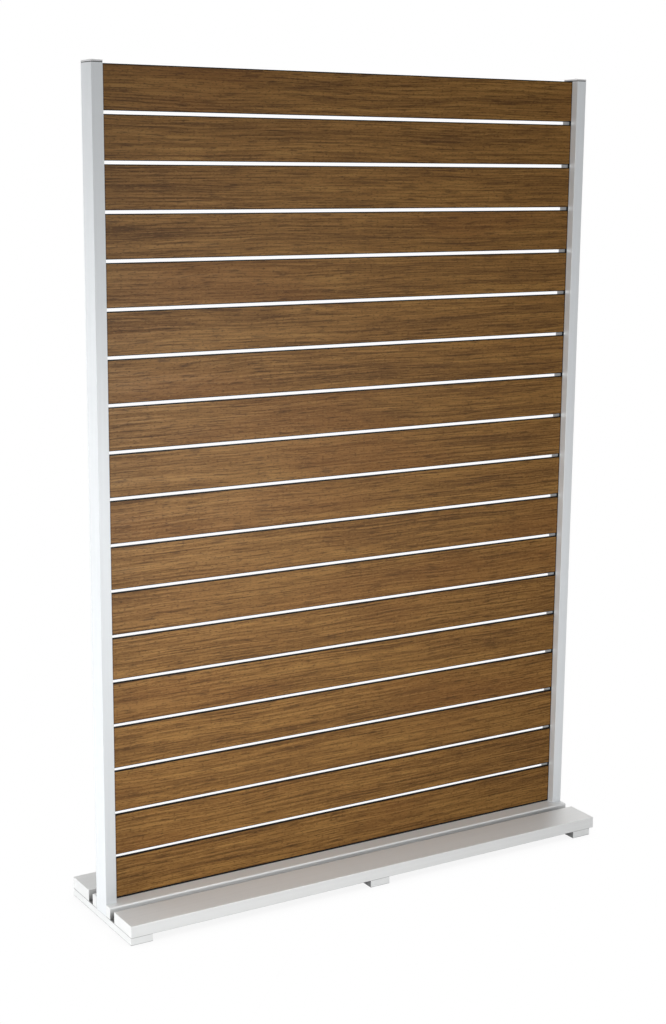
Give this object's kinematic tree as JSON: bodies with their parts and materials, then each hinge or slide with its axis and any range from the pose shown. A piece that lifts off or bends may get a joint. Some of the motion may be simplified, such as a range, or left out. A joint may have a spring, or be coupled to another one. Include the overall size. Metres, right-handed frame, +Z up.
{
  "type": "garden privacy screen",
  "caption": "Tall free-standing garden screen: thin wood-look boards stacked with open gaps between two slim metal posts on a low, wide base that can stand on any flat ground.",
  "frame": {"origin": "on the floor, under the middle of the screen's width and depth", "axes": "+X to the viewer's right along the boards, +Y from the front to the back through the screen, +Z up"},
  "size_m": [1.236, 0.303, 1.8],
  "materials": {
    "slat_board": "satin wood-grain surface with a dark core",
    "post_aluminium": "satin, anodised",
    "cap_aluminium": "satin, cast",
    "base_aluminium": "satin, anodised",
    "foot_aluminium": "satin, anodised",
    "end_cap_aluminium": "satin",
    "spacer_rubber": "matt",
    "insert_plastic": "matt",
    "screw_steel": "zinc-plated"
  },
  "bodies": {
    "root": {"centre_rail": "base_aluminium", "foot_cap_front_left": "end_cap_aluminium", "foot_cap_front_middle": "end_cap_aluminium", "foot_cap_front_right": "end_cap_aluminium", "foot_cap_rear_left": "end_cap_aluminium", "foot_cap_rear_middle": "end_cap_aluminium", "foot_cap_rear_right": "end_cap_aluminium", "foot_left": "foot_aluminium", "foot_middle": "foot_aluminium", "foot_right": "foot_aluminium", "plank_cap_front_left": "end_cap_aluminium", "plank_cap_front_right": "end_cap_aluminium", "plank_cap_rear_left": "end_cap_aluminium", "plank_cap_rear_right": "end_cap_aluminium", "plank_front": "base_aluminium", "plank_rear": "base_aluminium", "plank_screws": "screw_steel", "post_cap_left": "cap_aluminium", "post_cap_right": "cap_aluminium", "post_insert_left": "insert_plastic", "post_insert_right": "insert_plastic", "post_left": "post_aluminium", "post_right": "post_aluminium", "post_screws": "screw_steel", "rail_cap_front_left": "end_cap_aluminium", "rail_cap_front_right": "end_cap_aluminium", "rail_cap_rear_left": "end_cap_aluminium", "rail_cap_rear_right": "end_cap_aluminium", "rail_screws": "screw_steel", "slat_01": "slat_board", "slat_02": "slat_board", "slat_03": "slat_board", "slat_04": "slat_board", "slat_05": "slat_board", "slat_06": "slat_board", "slat_07": "slat_board", "slat_08": "slat_board", "slat_09": "slat_board", "slat_10": "slat_board", "slat_11": "slat_board", "slat_12": "slat_board", "slat_13": "slat_board", "slat_14": "slat_board", "slat_15": "slat_board", "slat_16": "slat_board", "slat_17": "slat_board", "slat_18": "slat_board", "slat_rest_left": "spacer_rubber", "slat_rest_right": "spacer_rubber", "spacers_left": "spacer_rubber", "spacers_right": "spacer_rubber"}
  },
  "joints": []
}
